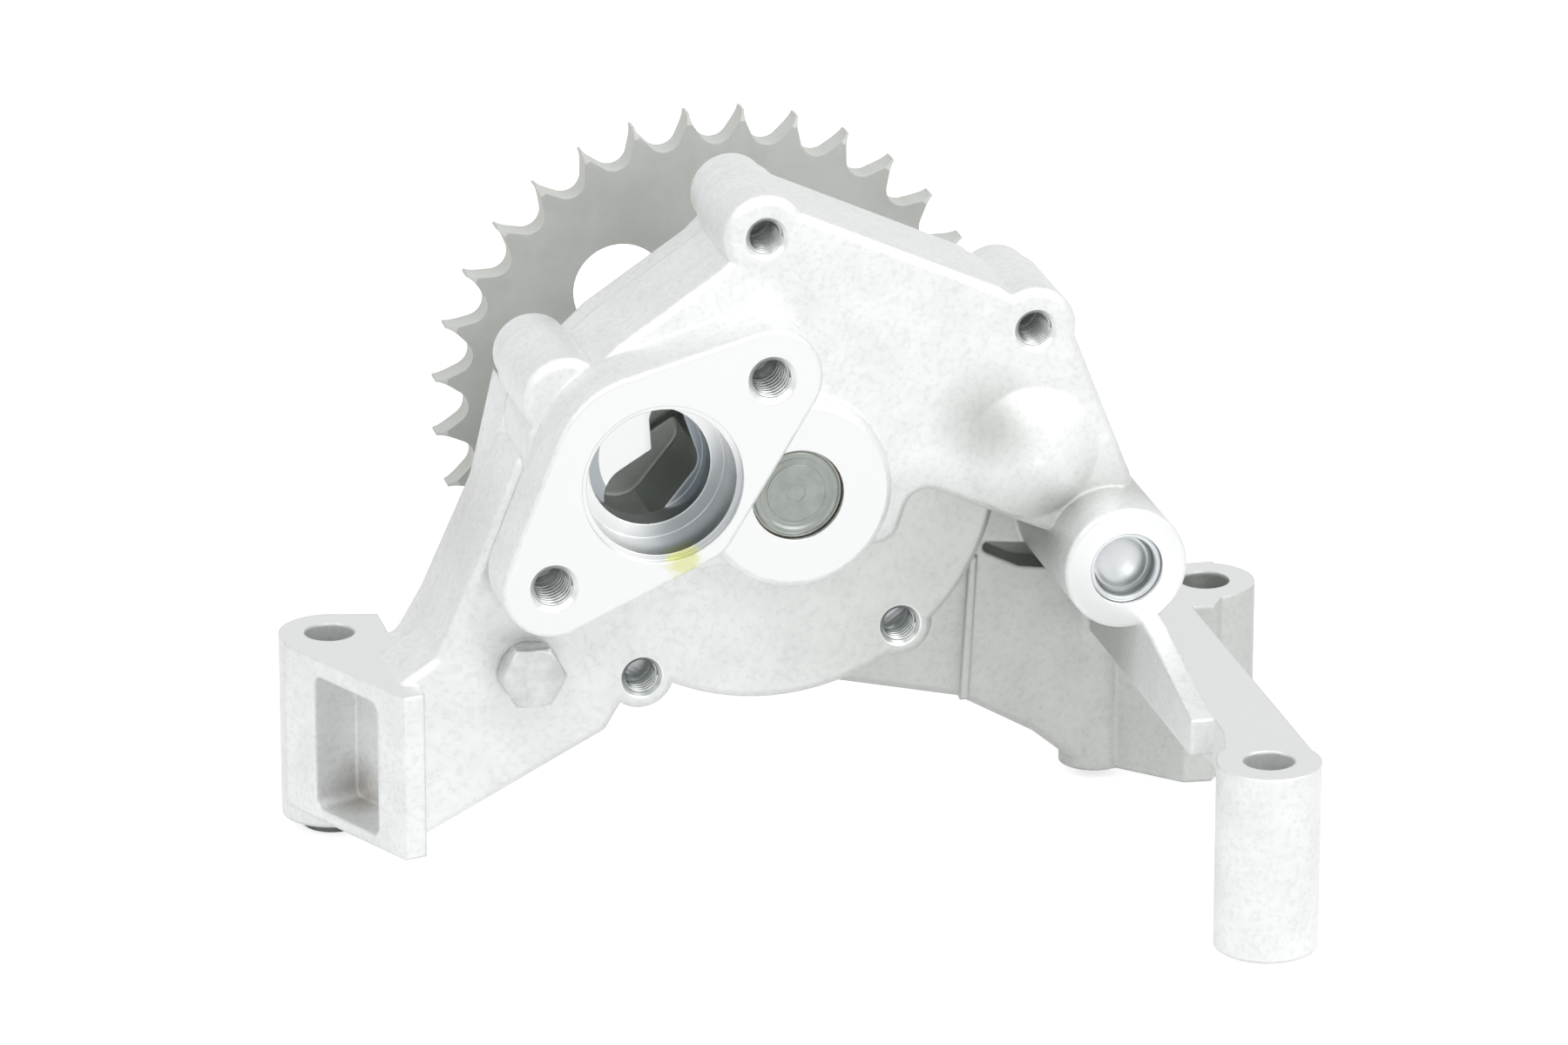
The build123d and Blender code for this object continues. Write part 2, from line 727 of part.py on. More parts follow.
seal.part.label = "relief_seal_ring"
export_step(seal.part, "parts/relief_seal_ring.step")


# Cup plug that closes the pressure gallery
with BuildPart() as cup:
    shaft_block(flange_front + 0.8, flange_front + cup_depth, cup_radius, gallery_axis)
    shaft_block(
        flange_front + 0.8, flange_front + cup_depth - cup_wall, cup_radius - cup_wall,
        gallery_axis, Mode.SUBTRACT,
    )
    fillet(cup.edges().group_by(Axis.Y)[-1], 0.8)

cup.part.label = "gallery_cup_plug"
export_step(cup.part, "parts/gallery_cup_plug.step")
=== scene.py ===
import math

import bmesh
import bpy
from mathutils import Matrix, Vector


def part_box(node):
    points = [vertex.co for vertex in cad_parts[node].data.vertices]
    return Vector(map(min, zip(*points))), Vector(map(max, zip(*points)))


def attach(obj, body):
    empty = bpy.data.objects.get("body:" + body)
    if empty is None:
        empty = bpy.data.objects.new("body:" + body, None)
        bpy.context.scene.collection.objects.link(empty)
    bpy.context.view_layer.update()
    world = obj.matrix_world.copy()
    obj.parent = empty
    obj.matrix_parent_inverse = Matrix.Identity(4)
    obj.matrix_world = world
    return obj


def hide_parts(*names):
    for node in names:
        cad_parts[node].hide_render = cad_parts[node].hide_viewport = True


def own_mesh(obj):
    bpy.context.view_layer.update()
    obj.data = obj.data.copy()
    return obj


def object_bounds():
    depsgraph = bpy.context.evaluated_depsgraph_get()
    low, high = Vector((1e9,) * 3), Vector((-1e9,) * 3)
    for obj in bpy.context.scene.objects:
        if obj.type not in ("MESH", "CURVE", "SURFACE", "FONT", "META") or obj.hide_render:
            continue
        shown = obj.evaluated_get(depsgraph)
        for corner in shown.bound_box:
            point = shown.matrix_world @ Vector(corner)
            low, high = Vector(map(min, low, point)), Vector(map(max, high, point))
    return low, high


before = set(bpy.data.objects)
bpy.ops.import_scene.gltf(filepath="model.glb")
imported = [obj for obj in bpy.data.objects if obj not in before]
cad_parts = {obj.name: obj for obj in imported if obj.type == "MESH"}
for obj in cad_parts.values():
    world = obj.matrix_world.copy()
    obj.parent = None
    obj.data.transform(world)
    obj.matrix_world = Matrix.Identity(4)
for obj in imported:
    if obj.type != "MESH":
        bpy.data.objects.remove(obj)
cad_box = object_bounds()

bl_info = {
    "name": "Gear oil pump looks",
    "version": (1, 0, 0),
    "blender": (4, 5, 0),
    "location": "3D View > Sidebar > Oil pump",
    "description": "Surfaces, threads, plugs and studio for an engine gear oil pump",
    "category": "Object",
}

MM = 0.001

# Lines along Y through the holes and the left sleeve, as (X, Z) in millimetres
PORT_AXIS = (-25.25, 72.75)
DRIVE_AXIS = (0.0, 66.5)
FLANGE_HOLES = ((-6.0, 90.0), (-44.5, 55.5))
UPPER_SCREWS = ((-4.0, 111.5), (44.0, 91.0))
LOWER_SCREWS = ((21.0, 37.0), (-25.5, 31.5))
GALLERY_AXIS = (57.5, 50.0)
LEFT_SLEEVE = (-75.0, 0.0)
# Height of the legs' upper ends above the crankcase face, in millimetres
LEG_HEIGHT = 33.5
# Depths along Y, in millimetres
FLANGE_FRONT = -46.0
# Front of the painted shade in the cup plug's corner
CUP_SHADE_FRONT = -44.4
BOSS_FRONT = -40.0
# Back of the painted shade in the cup plug's corner
CUP_SHADE_BACK = -38.0
PORT_STEP = -36.0
BODY_FRONT = -34.0
PORT_FLOOR = -30.5
FLANGE_HOLE_END = -28.0
BORE_END = -20.0
SCREW_HOLE_END = -13.0
PASSAGE_END = -10.0
# Zones of the surface reach this far past the face where they end, in millimetres
SLACK = 0.1
# Radii of the zones that surfaces are told apart by, each a little wider than its hole
PORT_LEAD_IN = 14.6
PORT_MOUTH = 14.2
PASSAGE = 12.0
PORT_WALL = 11.0
PORT_THROAT = 10.9
SHAFT_BORE = 8.6
GALLERY_BORE = 6.9
CUP_WALL = 5.9
CUP_FLOOR = 4.9
FLANGE_HOLE = 4.4
SCREW_HOLE = 3.9
THREADED_HOLE = 3.6
# Painted shade starts at these depths in the flange holes and the screw holes
FLANGE_HOLE_SHADE = -33.0
SCREW_HOLE_SHADE = -30.0
# The port's lead-in, and the painted shadow crescent on its floor
LEAD_IN_DEPTH = 0.9
CRESCENT_WIDTH = 3.2
# Spots on the casting as (X, Y, Z), in millimetres: a painted reflection on the port's lip, painted
# shade in the left leg's pocket, and painted shade on the upper left of the hump
LIP_GLINT = (-21.6, -44.6, 58.4)
POCKET_SHADE = (-71.6, -9.5, 6.5)
HUMP_SHADE_CENTRE = (35.5, -35.0, 75.5)
# The camera looks at this point (X, Y, Z) with a sensor of this width, in millimetres
AIM = (0.0, -30.0, 58.0)
SENSOR_WIDTH = 36.0


def linear(hex_colour):
    """The linear colour of an sRGB hex value."""
    channels = []
    for start in (1, 3, 5):
        value = int(hex_colour[start:start + 2], 16) / 255
        channels.append(value / 12.92 if value <= 0.04045 else ((value + 0.055) / 1.055) ** 2.4)
    return (*channels, 1.0)


def node(tree, kind, inputs=None, stops=None, **settings):
    """Add a node: its settings, what each input holds or is fed by, and its colour stops."""
    made = tree.nodes.new(kind)
    for name, value in settings.items():
        setattr(made, name, value)
    for name, value in (inputs or {}).items():
        if isinstance(value, bpy.types.NodeSocket):
            tree.links.new(value, made.inputs[name])
        else:
            made.inputs[name].default_value = value
    if stops:
        elements = made.color_ramp.elements
        while len(elements) < len(stops):
            elements.new(0.5)
        for element, (place, colour) in zip(elements, stops):
            element.position = place
            element.color = colour
    return made


def start_material(name):
    """A named material with its tree, its shader and the object coordinates."""
    material = bpy.data.materials.new(name)
    material.use_nodes = True
    tree = material.node_tree
    tree.nodes.clear()
    shader = node(tree, "ShaderNodeBsdfPrincipled")
    output = node(tree, "ShaderNodeOutputMaterial")
    tree.links.new(shader.outputs["BSDF"], output.inputs["Surface"])
    where = node(tree, "ShaderNodeTexCoord").outputs["Object"]
    return material, tree, shader, where


def from_axis(tree, where, centre):
    """The distance from an axis along Y through a centre (X, Z) in millimetres."""
    moved = node(
        tree, "ShaderNodeVectorMath", {0: where, 1: (centre[0] * MM, 0, centre[1] * MM)},
        operation="SUBTRACT",
    )
    flat = node(
        tree, "ShaderNodeVectorMath", {0: moved.outputs[0], 1: (1, 0, 1)}, operation="MULTIPLY"
    )
    away = node(tree, "ShaderNodeVectorMath", {0: flat.outputs[0]}, operation="LENGTH")
    return away.outputs["Value"]


def inside_hole(tree, where, y, centre, radius, low, high):
    """1 inside a hole of a radius round its axis, between two depths, all in millimetres."""
    near = node(
        tree, "ShaderNodeMath", {0: from_axis(tree, where, centre), 1: radius * MM},
        operation="LESS_THAN",
    )
    deep = node(
        tree, "ShaderNodeMath", {0: y, 1: (low + high) / 2 * MM, 2: (high - low) / 2 * MM},
        operation="COMPARE",
    )
    return node(
        tree, "ShaderNodeMath", {0: near.outputs[0], 1: deep.outputs[0]}, operation="MULTIPLY"
    ).outputs[0]


def facing_at(tree, along, level, towards, sign):
    """1 on a flat face within 0.06 mm of a level that faces along an axis, its sign 1 or -1."""
    flat = node(
        tree, "ShaderNodeMath", {0: along, 1: level * MM, 2: 0.06 * MM}, operation="COMPARE"
    )
    turned = node(tree, "ShaderNodeMath", {0: towards, 1: sign}, operation="MULTIPLY")
    square = node(tree, "ShaderNodeMath", {0: turned.outputs[0], 1: 0.95}, operation="GREATER_THAN")
    return node(
        tree, "ShaderNodeMath", {0: flat.outputs[0], 1: square.outputs[0]}, operation="MULTIPLY"
    ).outputs[0]


def any_of(tree, masks):
    """The strongest of the masks."""
    joined = masks[0]
    for mask in masks[1:]:
        joined = node(
            tree, "ShaderNodeMath", {0: joined, 1: mask}, operation="MAXIMUM"
        ).outputs[0]
    return joined


def cast_skin_and_shade(tree, settings, where, patches, grain):
    """The colour of the cast skin, with painted shade that greys the low web behind the parts that
    stand forward, and painted shade on the upper left flank of the hump."""
    x, y, z = node(tree, "ShaderNodeSeparateXYZ", {0: where}).outputs
    skin = node(
        tree, "ShaderNodeValToRGB", {"Fac": patches.outputs["Fac"]},
        stops=[(0.36, linear(settings.shade)), (0.60, linear(settings.skin))],
    )
    # Painted shade on the web, which lies low and to the right of the left leg. The shade starts 1
    # mm behind the body's front on the left, and up to 12 mm further forward on the right.
    aslant = node(
        tree, "ShaderNodeMapRange",
        {"Value": x, "From Min": -10 * MM, "From Max": 40 * MM, "To Min": 0.0, "To Max": 12 * MM},
    )
    depth = node(tree, "ShaderNodeMath", {0: y, 1: aslant.outputs["Result"]}, operation="ADD")
    recess_shade = node(
        tree, "ShaderNodeMapRange",
        {"Value": depth.outputs[0], "From Min": (BODY_FRONT + 1) * MM,
         "From Max": (BODY_FRONT + 13) * MM, "To Min": 0.0, "To Max": 0.9},
    )
    below = node(
        tree, "ShaderNodeMapRange",
        {"Value": z, "From Min": 58 * MM, "From Max": 70 * MM, "To Min": 1.0, "To Max": 0.0},
    )
    inboard = node(
        tree, "ShaderNodeMapRange", {"Value": x, "From Min": -62 * MM, "From Max": -40 * MM}
    )
    low_inboard = node(
        tree, "ShaderNodeMath", {0: below.outputs["Result"], 1: inboard.outputs["Result"]},
        operation="MULTIPLY",
    )
    web = node(
        tree, "ShaderNodeMath", {0: low_inboard.outputs[0], 1: recess_shade.outputs["Result"]},
        operation="MULTIPLY",
    )
    # Painted shade on the upper left flank of the hump over the pressure chamber
    hump = node(
        tree, "ShaderNodeVectorMath", {0: where, 1: [part * MM for part in HUMP_SHADE_CENTRE]},
        operation="DISTANCE",
    )
    hump_shade = node(
        tree, "ShaderNodeMapRange",
        {"Value": hump.outputs["Value"], "From Min": 2 * MM, "From Max": 11 * MM,
         "To Min": 1.0, "To Max": 0.0},
    )
    grey = node(
        tree, "ShaderNodeMath", {0: web.outputs[0], 1: hump_shade.outputs["Result"]},
        operation="MAXIMUM",
    )
    # Painted shade: the shade colour is mixed into the skin on the web and on the hump's upper left
    shaded_skin = node(
        tree, "ShaderNodeMix",
        {0: grey.outputs[0], 6: skin.outputs[0], 7: linear(settings.recess_shade)}, data_type="RGBA",
    )
    speck = node(
        tree, "ShaderNodeValToRGB", {"Fac": grain.outputs["Fac"]},
        stops=[(0.30, linear("#E4E6E5")), (0.52, linear("#FFFFFF"))],
    )
    cast = node(
        tree, "ShaderNodeMix", {0: 0.4, 6: shaded_skin.outputs[2], 7: speck.outputs[0]},
        data_type="RGBA", blend_type="MULTIPLY",
    )
    return cast.outputs[2]


def machined_zones(tree, where, y, z):
    """1 on the flange face, the shaft boss, the ends of the legs and the bores."""
    geometry = node(tree, "ShaderNodeNewGeometry")
    normal = node(tree, "ShaderNodeSeparateXYZ", {0: geometry.outputs["True Normal"]})
    bores = [
        inside_hole(
            tree, where, y, PORT_AXIS, PORT_LEAD_IN, FLANGE_FRONT - SLACK, PORT_FLOOR + SLACK
        ),
        inside_hole(tree, where, y, DRIVE_AXIS, SHAFT_BORE, BOSS_FRONT - SLACK, BORE_END),
        inside_hole(tree, where, y, GALLERY_AXIS, GALLERY_BORE, FLANGE_FRONT - SLACK, BORE_END),
    ]
    bores += [
        inside_hole(tree, where, y, centre, FLANGE_HOLE, FLANGE_FRONT - SLACK, FLANGE_HOLE_END)
        for centre in FLANGE_HOLES
    ]
    bores += [
        inside_hole(tree, where, y, centre, SCREW_HOLE, BODY_FRONT - SLACK, SCREW_HOLE_END)
        for centre in UPPER_SCREWS + LOWER_SCREWS
    ]
    faces = [
        facing_at(tree, y, FLANGE_FRONT, normal.outputs[1], -1),
        facing_at(tree, y, BOSS_FRONT, normal.outputs[1], -1),
        facing_at(tree, z, LEG_HEIGHT, normal.outputs[2], 1),
        facing_at(tree, z, 0.0, normal.outputs[2], -1),
    ]
    return any_of(tree, bores + faces)


def painted_port_shade(tree, where, x, y):
    """How strong the painted shade is on the right of the port's inner bore, on a painted shadow
    crescent at the left of its floor and, faintly, on the lower right of the wide bore in front of
    it."""
    right = node(
        tree, "ShaderNodeMapRange",
        {"Value": x, "From Min": PORT_AXIS[0] * MM, "From Max": (PORT_AXIS[0] + 7) * MM},
    )
    throat = inside_hole(tree, where, y, PORT_AXIS, PORT_THROAT, PORT_STEP + SLACK / 2, PORT_FLOOR)
    beside = (PORT_AXIS[0] + CRESCENT_WIDTH, PORT_AXIS[1])
    floor, rest = (
        inside_hole(tree, where, y, axis, PORT_WALL, PORT_FLOOR - 2 * SLACK, PORT_FLOOR + 2 * SLACK)
        for axis in (PORT_AXIS, beside)
    )
    crescent = node(tree, "ShaderNodeMath", {0: floor, 1: rest}, operation="SUBTRACT")
    # The lower right is measured along a line that points across and down
    across, down = 0.74, 0.67
    slant = node(
        tree, "ShaderNodeVectorMath", {0: where, 1: (across, 0, -down)}, operation="DOT_PRODUCT"
    )
    middle = across * PORT_AXIS[0] - down * PORT_AXIS[1]
    low_right = node(
        tree, "ShaderNodeMapRange",
        {"Value": slant.outputs["Value"], "From Min": (middle + 4) * MM,
         "From Max": (middle + 10) * MM, "To Min": 0.0, "To Max": 0.6},
    )
    mouth = inside_hole(
        tree, where, y, PORT_AXIS, PORT_MOUTH, FLANGE_FRONT + LEAD_IN_DEPTH, PORT_STEP + SLACK / 2
    )
    shaded_parts = [
        node(
            tree, "ShaderNodeMath", {0: side.outputs[0], 1: mask}, operation="MULTIPLY"
        ).outputs[0]
        for side, mask in ((right, throat), (crescent, 0.85), (low_right, mouth))
    ]
    return any_of(tree, shaded_parts)


def painted_hole_shade(tree, where, y):
    """1 in the passages behind the port's floor and deep in the screw holes, where painted shade
    darkens the metal."""
    passages = [
        inside_hole(tree, where, y, PORT_AXIS, PASSAGE, PORT_FLOOR + 2 * SLACK, PASSAGE_END)
    ]
    passages += [
        inside_hole(tree, where, y, centre, THREADED_HOLE, FLANGE_HOLE_SHADE, FLANGE_HOLE_END)
        for centre in FLANGE_HOLES
    ]
    passages += [
        inside_hole(tree, where, y, centre, THREADED_HOLE, SCREW_HOLE_SHADE, SCREW_HOLE_END)
        for centre in UPPER_SCREWS + LOWER_SCREWS
    ]
    return any_of(tree, passages)


def painted_glint_and_shade(tree, where, grain, colour):
    """The colour with a pale yellow painted reflection low on the port's lip, and brownish painted
    shade in the lower corner of the left leg's pocket, about 6 mm and 10 mm across."""
    # Each fades from its full strength to nothing between two distances in millimetres
    for place, near, far, strength, tint in (
        (LIP_GLINT, 4.0, 6.0, 0.8, "#DCDF9C"), (POCKET_SHADE, 3.5, 10.0, 0.45, "#A8A097"),
    ):
        away = node(
            tree, "ShaderNodeVectorMath", {0: where, 1: [part * MM for part in place]},
            operation="DISTANCE",
        )
        # The grain makes the edge ragged and takes about 2 mm off the radius
        ragged = node(
            tree, "ShaderNodeMath",
            {0: grain.outputs["Fac"], 1: 4.0 * MM, 2: away.outputs["Value"]},
            operation="MULTIPLY_ADD",
        )
        painted_spot = node(
            tree, "ShaderNodeMapRange",
            {"Value": ragged.outputs[0], "From Min": near * MM, "From Max": far * MM,
             "To Min": strength, "To Max": 0.0},
        )
        colour = node(
            tree, "ShaderNodeMix",
            {0: painted_spot.outputs["Result"], 6: colour, 7: linear(tint)}, data_type="RGBA",
        ).outputs[2]
    return colour


def cast_aluminium(settings):
    """Die-cast aluminium alloy, tumbled clean: a pale, faintly mottled skin with a fine grain.
    Its seating faces and bores are machined, which leaves them brighter and smoother."""
    material, tree, shader, where = start_material("cast_aluminium_alloy")
    x, y, z = node(tree, "ShaderNodeSeparateXYZ", {0: where}).outputs
    # The cast skin: faint patches, and a grain that is drawn coarser than the 0.2 mm grain of a
    # tumbled casting so that it shows
    patch_width, grain_width = 8.33 * MM, 1.053 * MM
    patches = node(
        tree, "ShaderNodeTexNoise",
        {"Vector": where, "Scale": 1 / patch_width, "Detail": 5.0, "Roughness": 0.62},
    )
    grain = node(
        tree, "ShaderNodeTexNoise",
        {"Vector": where, "Scale": 1 / grain_width, "Detail": 3.0, "Roughness": 0.65},
    )
    skin = cast_skin_and_shade(tree, settings, where, patches, grain)
    machined = machined_zones(tree, where, y, z)
    bright = node(
        tree, "ShaderNodeMix", {0: machined, 6: skin, 7: linear(settings.machined)},
        data_type="RGBA",
    )
    # Painted shade on the port's bore, and a painted shadow crescent on its floor
    port_shade = node(
        tree, "ShaderNodeMix",
        {0: painted_port_shade(tree, where, x, y), 6: bright.outputs[2], 7: linear(settings.port_shade)},
        data_type="RGBA",
    )
    # Painted shade deep in the passages and the screw holes
    dark = node(
        tree, "ShaderNodeMix",
        {0: painted_hole_shade(tree, where, y), 6: port_shade.outputs[2], 7: linear(settings.hole_shade)},
        data_type="RGBA",
    )
    # A painted reflection on the port's lip, and painted shade in the left leg's pocket
    colour = painted_glint_and_shade(tree, where, grain, dark.outputs[2])
    tree.links.new(colour, shader.inputs["Base Color"])
    shader.inputs["Metallic"].default_value = 1.0
    dull = node(
        tree, "ShaderNodeMapRange",
        {"Value": patches.outputs["Fac"], "From Min": 0.3, "From Max": 0.7,
         "To Min": 0.62, "To Max": 0.5},
    )
    rough = node(tree, "ShaderNodeMix", {0: machined, 2: dull.outputs["Result"], 3: 0.3})
    tree.links.new(rough.outputs[0], shader.inputs["Roughness"])
    # Radii of 1.1 mm soften the cast edges and 0.4 mm the machined ones, and the skin is less
    # than 0.1 mm rough
    radius = node(tree, "ShaderNodeMix", {0: machined, 2: 1.1 * MM, 3: 0.4 * MM})
    round_edges = node(tree, "ShaderNodeBevel", {"Radius": radius.outputs[0]}, samples=8)
    height = node(
        tree, "ShaderNodeMix", {0: 0.35, 2: grain.outputs["Fac"], 3: patches.outputs["Fac"]}
    )
    smooth = node(tree, "ShaderNodeMix", {0: machined, 2: height.outputs[0], 3: 0.5})
    bump = node(
        tree, "ShaderNodeBump",
        {"Strength": 0.35, "Distance": 0.2 * MM, "Height": smooth.outputs[0],
         "Normal": round_edges.outputs["Normal"]},
    )
    tree.links.new(bump.outputs["Normal"], shader.inputs["Normal"])
    return material


def turned_metal(name, colour, shade, roughness, axis, spacing, depth):
    """Machined metal with tool rings round an axis along Y. Their spacing and depth are in
    millimetres. Cloudy patches keep the metal from looking flat."""
    material, tree, shader, where = start_material(name)
    patch_width = 3.85 * MM
    cloud = node(
        tree, "ShaderNodeTexNoise",
        {"Vector": where, "Scale": 1 / patch_width, "Detail": 4.0, "Roughness": 0.6},
    )
    tone = node(
        tree, "ShaderNodeValToRGB", {"Fac": cloud.outputs["Fac"]},
        stops=[(0.35, linear(shade)), (0.62, linear(colour))],
    )
    tree.links.new(tone.outputs[0], shader.inputs["Base Color"])
    shader.inputs["Metallic"].default_value = 1.0
    spread = node(
        tree, "ShaderNodeMapRange",
        {"Value": cloud.outputs["Fac"], "From Min": 0.3, "From Max": 0.7,
         "To Min": roughness + 0.06, "To Max": roughness - 0.04},
    )
    tree.links.new(spread.outputs["Result"], shader.inputs["Roughness"])
    turns = node(
        tree, "ShaderNodeMath",
        {0: from_axis(tree, where, axis), 1: 2 * math.pi / (spacing * MM)},
        operation="MULTIPLY",
    )
    rings = node(tree, "ShaderNodeMath", {0: turns.outputs[0]}, operation="SINE")
    round_edges = node(tree, "ShaderNodeBevel", {"Radius": 0.25 * MM}, samples=6)
    bump = node(
        tree, "ShaderNodeBump",
        {"Strength": 0.35, "Distance": depth * MM, "Height": rings.outputs[0],
         "Normal": round_edges.outputs["Normal"]},
    )
    tree.links.new(bump.outputs["Normal"], shader.inputs["Normal"])
    return material


def pressed_zinc_plate():
    """Zinc-plated pressing: shiny, with faint drawing rings, and with painted shade in the round
    corner between the cup's wall and its floor."""
    material = turned_metal(
        "pressed_zinc_plate", "#DDE0E2", "#D8DBDD", roughness=0.36, axis=GALLERY_AXIS,
        spacing=1.2, depth=0.002,
    )
    tree = material.node_tree
    shader = [made for made in tree.nodes if made.type == "BSDF_PRINCIPLED"][0]
    where = node(tree, "ShaderNodeTexCoord").outputs["Object"]
    y = node(tree, "ShaderNodeSeparateXYZ", {0: where}).outputs[1]
    wall_zone, floor_zone = (
        inside_hole(tree, where, y, GALLERY_AXIS, reach, CUP_SHADE_FRONT, CUP_SHADE_BACK)
        for reach in (CUP_WALL, CUP_FLOOR)
    )
    corner_zone = node(
        tree, "ShaderNodeMath", {0: wall_zone, 1: floor_zone}, operation="SUBTRACT"
    )
    # Painted shade in the round corner of the cup
    corner_shade = node(
        tree, "ShaderNodeMix",
        {0: corner_zone.outputs[0], 6: shader.inputs["Base Color"].links[0].from_socket,
         7: linear("#8A8F8E")},
        data_type="RGBA",
    )
    tree.links.new(corner_shade.outputs[2], shader.inputs["Base Color"])
    return material


def stamped_steel(settings):
    """Fine-blanked steel, hardened and phosphated to a dull, even grey that only half shines
    as bare metal, with the paler machined slope on its teeth."""
    material, tree, shader, where = start_material("hardened_sprocket_steel")
    # Wide clouds, and the grain that tumbling leaves, drawn coarser than real so that it shows
    cloud_width, grain_width = 14.3 * MM, 0.77 * MM
    cloud = node(
        tree, "ShaderNodeTexNoise",
        {"Vector": where, "Scale": 1 / cloud_width, "Detail": 6.0, "Roughness": 0.6},
    )
    fine = node(
        tree, "ShaderNodeTexNoise",
        {"Vector": where, "Scale": 1 / grain_width, "Detail": 2.0, "Roughness": 0.6},
    )
    face = node(
        tree, "ShaderNodeValToRGB", {"Fac": cloud.outputs["Fac"]},
        stops=[(0.36, linear(settings.shade)), (0.64, linear(settings.face))],
    )
    geometry = node(tree, "ShaderNodeNewGeometry")
    normal = node(tree, "ShaderNodeSeparateXYZ", {0: geometry.outputs["True Normal"]})
    square = node(tree, "ShaderNodeMath", {0: normal.outputs[1]}, operation="ABSOLUTE")
    flat = node(tree, "ShaderNodeMath", {0: square.outputs[0], 1: 0.97}, operation="GREATER_THAN")
    colour = node(
        tree, "ShaderNodeMix", {0: flat.outputs[0], 6: linear(settings.teeth), 7: face.outputs[0]},
        data_type="RGBA",
    )
    tree.links.new(colour.outputs[2], shader.inputs["Base Color"])
    shader.inputs["Metallic"].default_value = 0.55
    spread = node(
        tree, "ShaderNodeMapRange",
        {"Value": cloud.outputs["Fac"], "From Min": 0.3, "From Max": 0.7,
         "To Min": 0.85, "To Max": 0.75},
    )
    tree.links.new(spread.outputs["Result"], shader.inputs["Roughness"])
    round_edges = node(tree, "ShaderNodeBevel", {"Radius": 0.3 * MM}, samples=6)
    bump = node(
        tree, "ShaderNodeBump",
        {"Strength": 0.25, "Distance": 0.1 * MM, "Height": fine.outputs["Fac"],
         "Normal": round_edges.outputs["Normal"]},
    )
    tree.links.new(bump.outputs["Normal"], shader.inputs["Normal"])
    return material


def start_piece(kind, **settings):
    """A primitive at its size and place, selected alone."""
    bpy.ops.object.select_all(action="DESELECT")
    getattr(bpy.ops.mesh, kind)(**settings)
    return bpy.context.active_object


def finish_piece(piece, name, body, material, angle=math.radians(30)):
    """Fix the piece's place in its mesh, then name it, give it its body, slot and material."""
    bpy.ops.object.select_all(action="DESELECT")
    piece.select_set(True)
    bpy.context.view_layer.objects.active = piece
    bpy.ops.object.transform_apply(location=True, rotation=True, scale=True)
    start_edit()
    bpy.ops.mesh.remove_doubles(threshold=0.001 * MM)
    bpy.ops.mesh.normals_make_consistent(inside=False)
    bpy.ops.object.mode_set(mode="OBJECT")
    bpy.ops.object.shade_smooth_by_angle(angle=angle)
    piece.name = name
    piece.data.name = name
    piece.data.materials.clear()
    piece.data.materials.append(material)
    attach(piece, body)


def apply_modifier(piece, kind, **settings):
    """Put one modifier on the piece and apply it."""
    bpy.context.view_layer.objects.active = piece
    modifier = piece.modifiers.new(kind.title(), kind)
    for name, value in settings.items():
        setattr(modifier, name, value)
    bpy.ops.object.modifier_apply(modifier=modifier.name)


def start_edit():
    """Edit the active piece, with all of it selected."""
    bpy.ops.object.mode_set(mode="EDIT")
    bpy.ops.mesh.select_all(action="SELECT")


def wind(piece, pitch, turns, sides):
    """Wind the section along Y into a closed coil of whole turns."""
    apply_modifier(
        piece, "SCREW", axis="Y", screw_offset=pitch, iterations=turns, steps=32,
        render_steps=32, use_merge_vertices=True,
    )
    start_edit()
    bpy.ops.mesh.fill_holes(sides=sides)
    bpy.ops.object.mode_set(mode="OBJECT")


def dress(material, *nodes):
    """Give CAD nodes a material."""
    for name in nodes:
        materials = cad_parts[name].data.materials
        materials.clear()
        materials.append(material)


def look_from(thing, turn, rise, away):
    """Set a camera or a lamp at an angle round the pump, an angle above the floor and a
    distance in metres, and turn it to the middle of the picture."""
    back = Vector(
        (math.sin(turn) * math.cos(rise), -math.cos(turn) * math.cos(rise), math.sin(rise))
    )
    thing.location = Vector([part * MM for part in AIM]) + back * away
    thing.rotation_mode = "QUATERNION"
    thing.rotation_quaternion = (-back).to_track_quat("-Z", "Y")


def make_camera(scene, settings):
    """The camera, as far away as its lens needs for the width of the view."""
    camera = bpy.data.objects.new("camera", bpy.data.cameras.new("camera"))
    scene.collection.objects.link(camera)
    camera.data.lens = settings.lens
    camera.data.sensor_width = SENSOR_WIDTH
    camera.data.clip_start = 0.05
    camera.data.clip_end = 50.0
    distance = settings.view_width * settings.lens / SENSOR_WIDTH
    look_from(camera, settings.azimuth, settings.elevation, distance)
    scene.camera = camera


def seen_directly(tree, seen):
    """1 for rays that reach the camera directly or through glass."""
    return node(
        tree, "ShaderNodeMath",
        {0: seen.outputs["Is Camera Ray"], 1: seen.outputs["Is Transmission Ray"]},
        operation="MAXIMUM",
    ).outputs[0]


